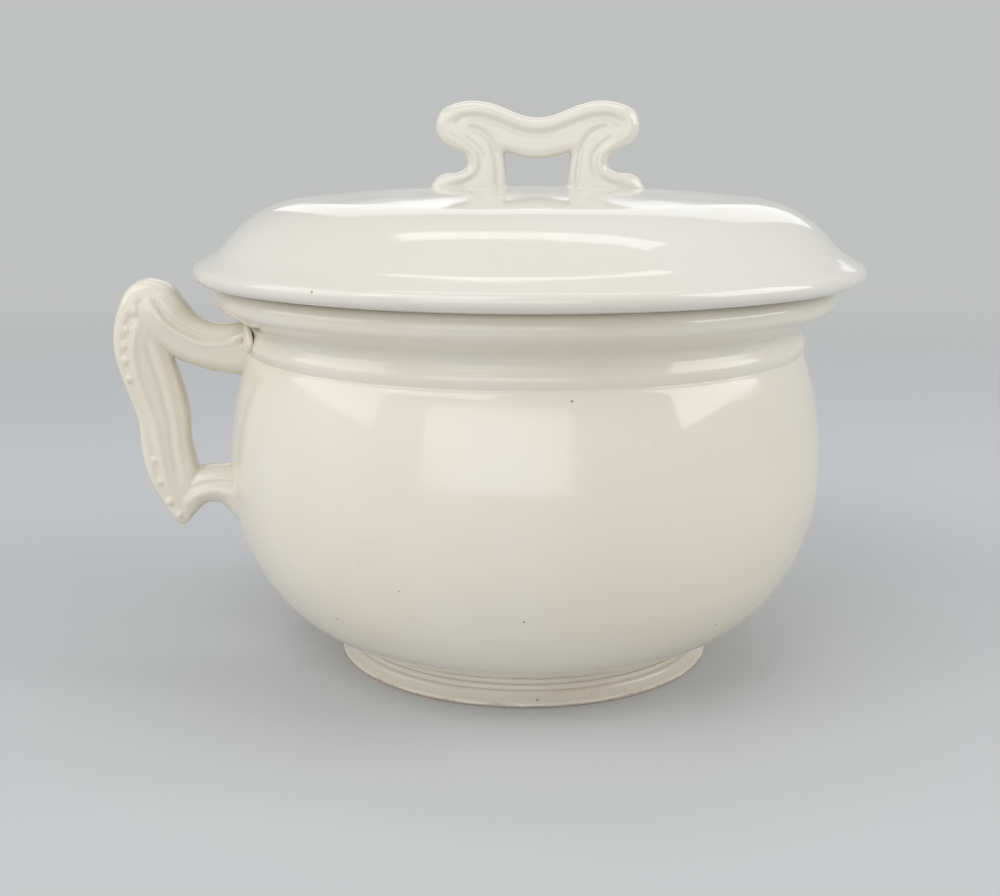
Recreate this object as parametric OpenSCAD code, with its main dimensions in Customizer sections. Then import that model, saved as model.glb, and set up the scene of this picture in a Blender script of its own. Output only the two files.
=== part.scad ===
// Lidded chamber pot of white glazed stoneware.
// The pot stands on z = 0 with its axis on Z, and its handle points along -X.

/* [Pot] */
// Height of the pot from the table to the top of its lip
pot_h = 146; // [140:1:152]
// Diameter of the neck at its narrowest
neck_d = 210; // [204:1:216]
// How far the belly stands out past the neck
belly_out = 8.75; // [7:0.25:11]
// Height of the belly's widest ring, as a share of the pot's height
belly_share = 0.52; // [0.48:0.01:0.56]
// Power of the curve under the belly: 2 is an ellipse, more is fuller
belly_power = 2.12; // [1.9:0.02:2.4]
// How far below the top of the lip the groove under the collar lies
groove_drop = 25.5; // [24.5:0.5:28]
// Depth of that groove
groove_t = 0.6; // [0.4:0.1:1]
// How far the soft collar above the groove stands out
collar_t = 1.3; // [0.8:0.1:2.2]
// How far the lip stands out past the neck
lip_out = 12.5; // [11:0.25:14]
// Radius of the rolled edge of the lip
lip_edge_r = 4.8; // [4.2:0.1:5.4]
// Slope of the flare under the lip
flare_slope = 30; // [27:0.5:33]
// Thickness of the pot's wall
wall = 6; // [5:0.25:7]
// Thickness of the pot's floor
floor_t = 8; // [6:0.5:10]

/* [Foot] */
// Diameter of the foot where it stands on the table
foot_d = 145.5; // [141:0.5:150]
// Height of the foot
foot_h = 10; // [9:0.25:11.5]
// Width of the ring that the foot stands on
foot_w = 14.25; // [12:0.25:16]
// How far the foot spreads from its waist to the table
foot_flare = 4.6; // [3.5:0.1:5.5]
// Radius of the two thin beads round the foot
foot_bead_r = 1.2; // [0.8:0.05:1.3]

/* [Pot handle] */
// How far the handle stands out from the belly
handle_out = 41.6; // [39:0.2:44]
// How far the top of the handle stands above the top of the lip
handle_up = 1.6; // [-1:0.2:3]
// Height of the handle from its top to its tail, as a share of the pot's height
handle_share = 0.653; // [0.62:0.001:0.68]
// Thickness of the handle's grip from side to side
grip_t = 16; // [13:0.5:19]
// Thickness of the handle's arms from side to side
arm_t = 19; // [16:0.5:22]
// Radius of the beads along the grip
bead_r = 2; // [1.6:0.1:2.4]

/* [Lid] */
// How far the lid's rim stands out past the lip
lid_over = 8.5; // [6:0.25:11]
// Rise of the lid's dome above its seat
lid_h = 35; // [32:0.5:38]
// Radius of the rounded edge of the lid's rim
roll_r = 3.3; // [3:0.1:3.8]
// How far that edge stands clear above the lid's seat
roll_up = 1.1; // [0.6:0.1:1.6]
// Slope of the rim's top between that edge and the skirt
rim_slope = 29; // [25:1:33]
// Width of that slope
rim_run = 6.7; // [6:0.1:7.4]
// Slope of the skirt between the rim and the shoulder
skirt_angle = 46; // [42:1:50]
// Radius of the shoulder
shoulder_r = 40; // [34:1:44]
// Slope of the dome's top where it leaves the shoulder
cap_angle = 6; // [4.5:0.25:7]
// Thickness of the dome
lid_wall = 6; // [5:0.25:7]
// How far the lid was set down turned, seen from above
lid_turn = -8; // [-20:1:20]
// How far the lid was set down off the pot's axis
lid_shift = 1.2; // [0:0.1:1.5]

/* [Lid flange] */
// Clearance between the mouth and the ring that keeps the lid in it
flange_gap = 1.5; // [1.5:0.1:4]
// Thickness of that ring
flange_t = 5.5; // [4:0.25:7]
// Depth of that ring below the lid's seat
flange_h = 7; // [5:0.25:8]

/* [Lid handle] */
// Width across the scrolled ends of the lid's handle
bridge_w = 76; // [70:0.5:82]
// Height of the lid's handle above the middle of the lid
bridge_h = 31.2; // [29:0.2:34]
// Thickness of the lid handle's ridges from side to side
bridge_t = 16; // [13:0.5:19]
// Thickness of the sunk face between those ridges
bridge_web_t = 11.5; // [8:0.5:12.5]
// How far the handle was stuck on off the lid's middle
bridge_off = 3.4; // [0:0.2:5]

/* [Hidden] */
$fn = 96;
glaze = [0.91, 0.89, 0.84];
bare_clay = [0.86, 0.81, 0.72];
ridge_sides = 18;
neck_r = neck_d / 2;
belly_r = neck_r + belly_out;
belly_z = pot_h * belly_share;
groove_z = pot_h - groove_drop;
lip_r = neck_r + lip_out;
lip_c = [lip_r - lip_edge_r, pot_h - lip_edge_r];
mouth_r = neck_r - wall + 2;
foot_r = foot_d / 2;
// The belly runs in under itself to this ring, where the flat base begins
base_r = foot_r - foot_w - 0.5;
// The lid's seat lies on the lip with a hair of clearance
lid_z = pot_h + 0.05;
lid_top = lid_z + lid_h;
roll_c = [lip_r + lid_over - roll_r, lid_z + roll_up + roll_r];
flange_r = mouth_r - flange_gap;
ledge_r = flange_r - flange_t;

// Points on an arc in the section plane, from angle a to angle b
function arc(c, r, a, b, n) = [for (i = [0:n]) let (t = a + (b - a) * i / n) c + r * [cos(t), sin(t)]];

// One span of a smooth line through four neighbouring points
function span(a, b, c, d, t) =
    b + 0.5 * t * (c - a + t * (2 * a - 5 * b + 4 * c - d + t * (3 * (b - c) + d - a)));

// A smooth line through a few points, with n steps in each span
function through(p, n) = let (m = len(p) - 1) concat(
    [for (i = [0:m - 1], k = [0:n - 1])
        span(p[max(i - 1, 0)], p[i], p[i + 1], p[min(i + 2, m)], k / n)],
    [p[m]]);

function reverse(p) = [for (i = [len(p) - 1:-1:0]) p[i]];
function flat(p) = [for (q = p) [q[0], q[1]]];

// The pot's section

// Underside of the belly, from the base out to the widest ring
function under_belly(r0, z0, r1, z1, n) = [for (i = [0:n])
    let (a = 90 * i / n, k = 2 / belly_power)
    [r0 + (r1 - r0) * pow(sin(a), k), z1 - (z1 - z0) * pow(cos(a), k)]];

// Upper belly: an arc that leaves the widest ring upright and reaches the neck's edge
shoulder_in = belly_r - neck_r - 1;
shoulder_up = groove_z - groove_t - belly_z;
upper_r = (shoulder_up * shoulder_up + shoulder_in * shoulder_in) / (2 * shoulder_in);
upper_c = [belly_r - upper_r, belly_z];
upper_a = asin(shoulder_up / upper_r);

// Neck: the groove, the soft collar, the waist and the straight flare under the lip
waist_turn = 5.2;
flare_top = lip_c + lip_edge_r * [sin(flare_slope), -cos(flare_slope)];
flare_foot = neck_r + waist_turn * (1 - sin(flare_slope));
waist_z = flare_top[1] - (flare_top[0] - flare_foot) * tan(flare_slope) - waist_turn * cos(flare_slope);
collar = through([
    [neck_r + 1 - groove_t, groove_z],
    [neck_r + 0.8, groove_z + 1.1],
    [neck_r + collar_t, groove_z + 3.3],
    [neck_r + 0.6, groove_z + 5.7],
    [neck_r, waist_z]], 4);

outer_wall = concat(
    under_belly(base_r, foot_h, belly_r, belly_z, 22),
    arc(upper_c, upper_r, upper_a / 14, upper_a, 13),
    collar,
    arc([neck_r + waist_turn, waist_z], waist_turn, 172, 90 + flare_slope, 6),
    arc(lip_c, lip_edge_r, flare_slope - 90, 90, 14));

inner_wall = concat(
    [[0, foot_h + floor_t]],
    under_belly(base_r, foot_h + floor_t, belly_r - wall, belly_z, 20),
    arc(upper_c, upper_r - wall, upper_a / 12, upper_a, 11),
    through([
        [neck_r - wall + 0.4, groove_z + 4],
        [neck_r - wall + 0.3, waist_z + 2],
        [mouth_r, lip_c[1] - 3],
        [mouth_r + 3, pot_h - 1.6],
        [mouth_r + 5, pot_h]], 4));

module pot_section() {
    polygon(concat([[0, foot_h]], outer_wall, reverse(inner_wall)));
}

// The pot filled solid, for trimming what is stuck on its outside
module pot_filled() {
    polygon(concat([[0, foot_h]], outer_wall, [[0, pot_h]]));
}

module pot_body() {
    color(glaze)
    rotate_extrude()
    pot_section();
}

// The foot's section: a spreading base with two thin beads above it
foot_waist_r = foot_r - foot_flare;
foot_base_h = foot_h * 0.46;
module foot_section() {
    polygon(concat(
        [[foot_r - foot_w, 0]],
        arc([foot_r - 1, 1], 1, -90, 35, 6),
        [[foot_waist_r + foot_flare * 0.4, foot_base_h * 0.56],
        [foot_waist_r, foot_base_h],
        [foot_waist_r, foot_h + 1.5],
        [foot_r - foot_w, foot_h + 1.5]]));
    for (k = [0.63, 0.87])
        translate([foot_waist_r, foot_h * k])
        circle(foot_bead_r);
}

module foot_ring() {
    color(bare_clay)
    rotate_extrude()
    difference() {
        foot_section();
        pot_filled();
    }
}

// Both handles are moulded from ridges: smooth lines of [across, up, radius]

// Direction of a line at its point i
function heading(p, i) =
    let (a = p[max(i - 1, 0)], b = p[min(i + 1, len(p) - 1)], d = [b[0] - a[0], b[1] - a[1]])
    d / norm(d);

// Stations of a ridge's rounded end, from the tip in: [across, up, radius, share of thickness]
function tip(q, h) = [for (a = [80, 55, 28])
    [q[0] - q[2] * sin(a) * h[0], q[1] - q[2] * sin(a) * h[1], q[2] * cos(a), cos(a)]];

function stations(p) = let (m = len(p) - 1) concat(
    tip(p[0], heading(p, 0)),
    [for (q = p) [q[0], q[1], q[2], 1]],
    reverse(tip(p[m], -heading(p, m))));

// Ring of points round a ridge at one station, with thickness t from side to side
function ring(q, h, t) = [for (j = [0:ridge_sides - 1]) let (a = 360 * j / ridge_sides)
    [q[0] - q[2] * cos(a) * h[1], t / 2 * q[3] * sin(a), q[1] + q[2] * cos(a) * h[0]]];

// A ridge of oval section along a smooth line
module ridge(points, t, steps) {
    s = stations(through(points, steps));
    n = len(s) - 1;
    m = ridge_sides;
    sides = [for (i = [0:n - 1], j = [0:m - 1])
        let (a = i * m + j, b = i * m + (j + 1) % m)
        each [[a, b, a + m], [a + m, b, b + m]]];
    polyhedron(
        [for (i = [0:n]) each ring(s[i], heading(s, i), t)],
        concat([[for (j = [m - 1:-1:0]) j]], sides, [[for (j = [0:m - 1]) n * m + j]]));
}

// A short straight bar with rounded ends between two such points
module bar(p, q, t) {
    hull()
    for (k = [p, q])
        translate([k[0], 0, k[1]])
        scale([1, t / 2 / k[2], 1])
        sphere(k[2], $fn = 24);
}

// A flat web between two lines
module web(outline, t) {
    rotate([90, 0, 0])
    linear_extrude(t, center = true)
    polygon(outline);
}

// A moulded bar between two lines of [across, up, share of thickness]. The face gives its
// section: [share of the way from the outer line to the inner one, share of half the thickness]
module band(outer, inner, face, t, steps) {
    a = through(outer, steps);
    b = through(inner, steps);
    loop = concat(face, [for (i = [len(face) - 2:-1:1]) [face[i][0], -face[i][1]]]);
    n = len(a) - 1;
    m = len(loop);
    sides = [for (i = [0:n - 1], j = [0:m - 1])
        let (p = i * m + j, q = i * m + (j + 1) % m)
        each [[p, q, p + m], [p + m, q, q + m]]];
    polyhedron(
        [for (i = [0:n], q = loop)
            let (c = a[i] + (b[i] - a[i]) * q[0])
            [c[0], t / 2 * a[i][2] * q[1], c[1]]],
        concat([[for (j = [m - 1:-1:0]) j]], sides, [[for (j = [0:m - 1]) n * m + j]]));
}

handle_reach = belly_r + handle_out;
handle_top = pot_h + handle_up;
// The handle is drawn 41.6 out from the belly and 95.3 tall, and stretched to its size
handle_widen = handle_out / 41.6;
handle_stretch = pot_h * handle_share / 95.3;
// A place on the pot handle, from its outside inwards and from its top down
function hp(inward, down, r = 1) =
    [handle_reach - inward * handle_widen, handle_top - down * handle_stretch, r];

// The grip, from the ear at the top to the tail: its outside and the edge along the finger gap
grip_outer = [
    hp(27, 9.6, 0.6), hp(24.3, 4.9, 0.86), hp(20.5, 1.4, 0.95), hp(12.6, 0), hp(5.7, 4.3), hp(1.5, 13.6),
    hp(0, 22.3), hp(0.6, 30.5), hp(3.9, 42), hp(7.4, 53), hp(8.1, 63.4),
    hp(9.9, 74.6), hp(14.7, 85.3, 0.95), hp(17.9, 90.7, 0.85), hp(20.2, 94.1, 0.65), hp(21.6, 95.2, 0.35)];
grip_inner = [
    hp(25, 14), hp(22.8, 13), hp(20.3, 13), hp(17, 14.5), hp(15.4, 16.5), hp(16.6, 20),
    hp(19.2, 24.2), hp(21.9, 30.4), hp(25.3, 41.8), hp(27, 52), hp(27.1, 62),
    hp(29.2, 73), hp(29.2, 81.5), hp(27.2, 90), hp(25, 93.8), hp(23, 95.3)];
// Across the grip: a raised border, a hollow for the beads, two soft ridges and a rounded edge
grip_face = [
    [0, 0], [0.03, 0.52], [0.08, 0.86], [0.14, 0.97], [0.2, 0.9], [0.27, 0.84], [0.36, 0.9],
    [0.46, 0.98], [0.56, 0.92], [0.67, 0.96], [0.82, 0.84], [0.94, 0.54], [1, 0]];

// The upper arm, from inside the neck out to the scroll in the ear: its crown and its underside
upper_top = [
    hp(66, 17), hp(52, 17), hp(46.5, 16.9), hp(40.6, 17), hp(36.3, 16.3), hp(32.7, 14.7),
    hp(29.7, 12.4), hp(27.4, 9.2), hp(24.4, 5.8), hp(20.2, 3.6, 0.97),
    hp(15.8, 4.2, 0.85), hp(12.6, 6.2, 0.6)];
upper_under = [
    hp(66, 37.4), hp(52, 37.2), hp(46, 36.8), hp(39.5, 35.8), hp(34, 34.4), hp(29, 32.7),
    hp(24, 30.6), hp(18.9, 26.7), hp(14.2, 22.6), hp(10.5, 18), hp(8.9, 13.4), hp(9.4, 9.4)];
// Across the upper arm: a strand along the crown, a flute under it and a full round below
upper_face = [
    [0, 0], [0.05, 0.5], [0.13, 0.8], [0.22, 0.9], [0.3, 0.83], [0.38, 0.92],
    [0.52, 1], [0.68, 0.95], [0.82, 0.78], [0.94, 0.46], [1, 0]];

// The lower arm, from inside the belly out to the tail: its top and the arch under it
lower_top = [
    hp(55, 71), hp(47, 71.1), hp(42, 71.2), hp(38, 71.4), hp(34, 71.6),
    hp(30.4, 72), hp(26.8, 73.4), hp(22.6, 76.2, 0.9)];
lower_under = [
    hp(53, 109), hp(46.4, 100), hp(42.2, 91.8), hp(38.2, 87.3), hp(34.6, 86.1),
    hp(30.9, 87.1), hp(27.7, 90.4), hp(24.8, 93.4)];
// Across the lower arm: a full round above a ridge
lower_face = [
    [0, 0], [0.06, 0.54], [0.18, 0.84], [0.31, 0.92], [0.4, 0.88], [0.51, 1],
    [0.63, 0.94], [0.79, 0.7], [0.93, 0.4], [1, 0]];

// Beads in the hollow inside the border, and the leaf that laps the upper arm's root
beads = [
    hp(9, 11, 1.35), hp(5.9, 17.2, 1), hp(5.1, 22.3, 1), hp(4.8, 27.4, 0.95), hp(6.4, 34.2, 0.9),
    hp(14.6, 65, 0.8), hp(15.3, 73, 0.9), hp(17.3, 81, 0.9), hp(21.4, 88.3, 0.8)];
leaf = [hp(49.4, 17, arm_t * 0.095), hp(48.6, 25, arm_t * 0.12)];

module pot_handle() {
    color(glaze)
    rotate(180)
    difference() {
        union() {
            band(grip_outer, grip_inner, grip_face, grip_t, 3);
            band(upper_top, upper_under, upper_face, arm_t, 3);
            band(lower_top, lower_under, lower_face, arm_t - 2.5, 3);
            bar(leaf[0], leaf[1], arm_t + 2.2);
            for (b = beads)
                hull()
                for (side = [-1, 1])
                    translate([b[0], side * (grip_t / 2 - bead_r * 1.1), b[1]])
                    sphere(bead_r * b[2], $fn = 16);
        }
        // Cut to the outside of the round wall, so that the roots lie on it
        rotate_extrude()
        scale([1 / cos(180 / $fn), 1])
        pot_filled();
    }
}

// The lid's section: a sloped rim, a steeper skirt, a shoulder and a shallow cap

skirt_r = roll_c[0] + roll_r * sin(rim_slope) - rim_run;
skirt_z = roll_c[1] + roll_r * cos(rim_slope) + rim_run * tan(rim_slope);
cap_run = skirt_r - shoulder_r * (sin(skirt_angle) - sin(cap_angle));
shoulder_rise = shoulder_r * (cos(cap_angle) - cos(skirt_angle));
skirt_len = (lid_top - skirt_z - shoulder_rise - cap_run * tan(cap_angle / 2))
    / (sin(skirt_angle) - cos(skirt_angle) * tan(cap_angle / 2));
cap_edge_r = cap_run - skirt_len * cos(skirt_angle);
cap_r = cap_edge_r / sin(cap_angle);
shoulder_c = [
    cap_edge_r - shoulder_r * sin(cap_angle),
    lid_top - cap_r * (1 - cos(cap_angle)) - shoulder_r * cos(cap_angle)];

// The dome's line at a depth t below its glazed face, from the shoulder to the middle
function dome_line(t) = concat(
    arc(shoulder_c, shoulder_r - t, 90 - skirt_angle, 90 - cap_angle, 12),
    [for (i = [1:8]) let (a = cap_angle * (1 - i / 8))
        [0, lid_top - cap_r] + (cap_r - t) * [sin(a), cos(a)]]);

lid_face = concat(
    arc(roll_c, roll_r, -90, 90 - rim_slope, 14),
    [[skirt_r, skirt_z]],
    dome_line(0));

module lid_section() {
    polygon(concat(
        [[ledge_r, lid_z], [lip_r - 1, lid_z]],
        lid_face,
        reverse(dome_line(lid_wall)),
        [[ledge_r, lid_z + 3]]));
}

module lid_filled() {
    polygon(concat([[0, lid_z]], lid_face));
}

// Puts a piece of the lid where the lid was set down
module set_down() {
    rotate(lid_turn)
    translate([lid_shift, 0, 0])
    children();
}

module lid_dome() {
    color(glaze)
    set_down()
    rotate_extrude()
    lid_section();
}

module lid_flange() {
    color(bare_clay)
    set_down()
    translate([0, 0, lid_z - flange_h])
    difference() {
        cylinder(h = flange_h, r = flange_r);
        translate([0, 0, -1])
        cylinder(h = flange_h + 2, r = ledge_r);
    }
}

// A place on the lid handle, as a share of its half width and from its top down
function bp(across, down, r) = [across * bridge_w / 2, lid_top + bridge_h - down, r];

// Half of each ridge, from the middle out
rim_half = [bp(0, 9.2, 3.2), bp(0.2, 7.6, 3.2), bp(0.4, 4.8, 3.3), bp(0.6, 3.4, 3.4), bp(0.76, 3.7, 3.5),
    bp(0.88, 6, 3.6), bp(0.905, 9.4, 3.8), bp(0.82, 13.2, 4)];
post_half = [bp(0.72, 14.4, 4.6), bp(0.64, 18.2, 4.1), bp(0.6, 22.4, 3.8), bp(0.63, 26, 3.8),
    bp(0.75, 29.6, 3.8), bp(0.9, 30.6, 3.5)];
inside_half = [bp(0.42, 15.6, 3), bp(0.37, 34, 3)];
bar_half = [bp(0, 18, 3), bp(0.42, 15.2, 3.1)];
boss_half = [bp(0.66, 9.4, 4.4), bp(0.79, 8.6, 4.9)];
toe_half = [bp(0.68, 29.6, 4), bp(0.98, 31.8, 3.3)];
web_half = concat(
    flat(rim_half),
    flat([bp(0.66, 14, 0), bp(0.6, 19, 0), bp(0.6, 24, 0), bp(0.7, 34, 0)]),
    flat([bp(0.37, 34, 0), bp(0.41, 17, 0)]),
    [flat(bar_half)[0]]);

module both_sides() {
    children();
    mirror([1, 0, 0])
    children();
}

module lid_handle() {
    color(glaze)
    set_down()
    difference() {
        translate([bridge_off, 0, 0])
        both_sides()
        union() {
            ridge(rim_half, bridge_t, 3);
            ridge(post_half, bridge_t - 0.8, 3);
            bar(inside_half[0], inside_half[1], bridge_t - 1.6);
            bar(bar_half[0], bar_half[1], bridge_t - 2.4);
            bar(boss_half[0], boss_half[1], bridge_t - 1.2);
            bar(toe_half[0], toe_half[1], bridge_t + 2);
            web(web_half, bridge_web_t);
        }
        rotate_extrude()
        lid_filled();
    }
}

pot_body();
foot_ring();
pot_handle();
lid_dome();
lid_flange();
lid_handle();
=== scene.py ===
"""Studio scene of a lidded chamber pot of white glazed stoneware, modelled over its frame."""
import logging
import math
from dataclasses import dataclass
from enum import Enum
from typing import Callable, Sequence

import bmesh
import bpy
from mathutils import Matrix, Vector
from mathutils.kdtree import KDTree


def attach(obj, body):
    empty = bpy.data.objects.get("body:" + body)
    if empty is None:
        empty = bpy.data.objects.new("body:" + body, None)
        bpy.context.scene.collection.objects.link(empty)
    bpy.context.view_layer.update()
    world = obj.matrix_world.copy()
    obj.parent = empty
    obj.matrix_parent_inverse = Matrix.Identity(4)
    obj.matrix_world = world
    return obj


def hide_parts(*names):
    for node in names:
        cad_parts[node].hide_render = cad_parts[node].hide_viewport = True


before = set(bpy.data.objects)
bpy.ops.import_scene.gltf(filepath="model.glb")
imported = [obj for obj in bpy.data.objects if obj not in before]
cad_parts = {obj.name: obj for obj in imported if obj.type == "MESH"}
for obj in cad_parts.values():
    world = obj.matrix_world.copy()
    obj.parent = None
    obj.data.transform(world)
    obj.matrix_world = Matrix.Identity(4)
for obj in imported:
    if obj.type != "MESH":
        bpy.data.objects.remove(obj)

LOG = logging.getLogger("chamber_pot")
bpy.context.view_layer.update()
MM = 0.001  # metres in a millimetre
LID_TURN = -8.0  # degrees that the lid is turned on the lip
LID_SHIFT = 1.2  # millimetres that the lid is set down off the pot's axis

Pair = tuple[float, float]
Triple = tuple[float, float, float]
Colour = tuple[float, float, float, float]
Inputs = dict[str | int, object]
Socket = bpy.types.NodeSocket


class Bare(Enum):
    """Where the glaze is left off or worn away."""

    NONE = "glazed all over"
    BELOW = "bare below a height"
    ALL = "wiped thin all over"


def arc(centre: Pair, radius: float, start: float, end: float, count: int) -> list[Pair]:
    """Gives points on an arc of a section.

    Args:
        centre: Middle of the arc, in millimetres.
        radius: Radius of the arc.
        start: First angle, in degrees.
        end: Last angle, in degrees.
        count: Number of steps.

    Returns:
        The points, from start to end.
    """
    turns = [math.radians(start + (end - start) * i / count) for i in range(count + 1)]
    return [(centre[0] + radius * math.cos(t), centre[1] + radius * math.sin(t)) for t in turns]


def through(points: Sequence[Sequence[float]], steps: int) -> list[tuple[float, ...]]:
    """Draws a smooth line through a few points.

    Args:
        points: The points, of any number of coordinates.
        steps: Number of steps in each span.

    Returns:
        The points of the smooth line.
    """
    last = len(points) - 1
    line: list[tuple[float, ...]] = []
    for i in range(last):
        quad = [points[max(i - 1, 0)], points[i], points[i + 1], points[min(i + 2, last)]]
        for k in range(steps):
            t = k / steps
            line.append(tuple(
                b + 0.5 * t * (c - a + t * (2 * a - 5 * b + 4 * c - d + t * (3 * (b - c) + d - a)))
                for a, b, c, d in zip(*quad)))
    line.append(tuple(points[last]))
    return line


def ease(value: float, low: float, high: float) -> float:
    """Gives 0 below low, 1 above high and a smooth step in between."""
    t = min(max((value - low) / (high - low), 0.0), 1.0)
    return t * t * (3 - 2 * t)


def sine(angle: float) -> float:
    """Gives the sine of an angle in degrees."""
    return math.sin(math.radians(angle))


def cosine(angle: float) -> float:
    """Gives the cosine of an angle in degrees."""
    return math.cos(math.radians(angle))


def tangent(angle: float) -> float:
    """Gives the tangent of an angle in degrees."""
    return math.tan(math.radians(angle))


def deselect() -> None:
    """Clears the selection, so that operators touch the new piece alone."""
    if bpy.context.object and bpy.context.object.mode != "OBJECT":
        bpy.ops.object.mode_set(mode="OBJECT")
    bpy.ops.object.select_all(action="DESELECT")


class Graph:
    """The node tree of a material or of the surroundings, filled node by node."""

    def __init__(self, owner: bpy.types.Material | bpy.types.World) -> None:
        """Empties the owner's tree.

        Args:
            owner: The material or the surroundings.
        """
        owner.use_nodes = True
        self.tree = owner.node_tree
        self.tree.nodes.clear()

    def add(self, kind: str, inputs: Inputs | None = None, **settings: object) -> bpy.types.Node:
        """Adds one node.

        Args:
            kind: The node's type.
            inputs: Values or sockets for its inputs.
            settings: Properties of the node.

        Returns:
            The new node.
        """
        node = self.tree.nodes.new(kind)
        for name, value in settings.items():
            setattr(node, name, value)
        for key, value in (inputs or {}).items():
            if isinstance(value, Socket):
                self.tree.links.new(value, node.inputs[key])
            else:
                node.inputs[key].default_value = value
        return node

    def maths(self, operation: str, first: object, second: object = 0.0) -> Socket:
        """Adds a maths node and returns its result."""
        return self.add("ShaderNodeMath", {0: first, 1: second}, operation=operation).outputs[0]

    def span(self, value: object, low: float, high: float, start: float = 0.0, end: float = 1.0) -> Socket:
        """Maps low..high to start..end, clamped, and returns the result."""
        inputs = {"Value": value, "From Min": low, "From Max": high, "To Min": start, "To Max": end}
        return self.add("ShaderNodeMapRange", inputs, interpolation_type="SMOOTHSTEP").outputs["Result"]

    def noise(self, place: object, scale: float, detail: float = 2.0) -> Socket:
        """Adds a noise texture and returns its value."""
        inputs = {"Vector": place, "Scale": scale, "Detail": detail, "Roughness": 0.5}
        return self.add("ShaderNodeTexNoise", inputs).outputs["Fac"]

    def blend(self, factor: object, first: object, second: object) -> Socket:
        """Mixes two colours.

        Args:
            factor: Share of the second colour.
            first: First colour, a value or a socket.
            second: Second colour, a value or a socket.

        Returns:
            The mixed colour.
        """
        node = self.add("ShaderNodeMix", data_type="RGBA")
        for key, value in (("Factor", factor), ("A", first), ("B", second)):
            socket = next(s for s in node.inputs if s.name == key and s.enabled)
            if isinstance(value, Socket):
                self.tree.links.new(value, socket)
            else:
                socket.default_value = value
        return next(s for s in node.outputs if s.enabled)


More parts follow.
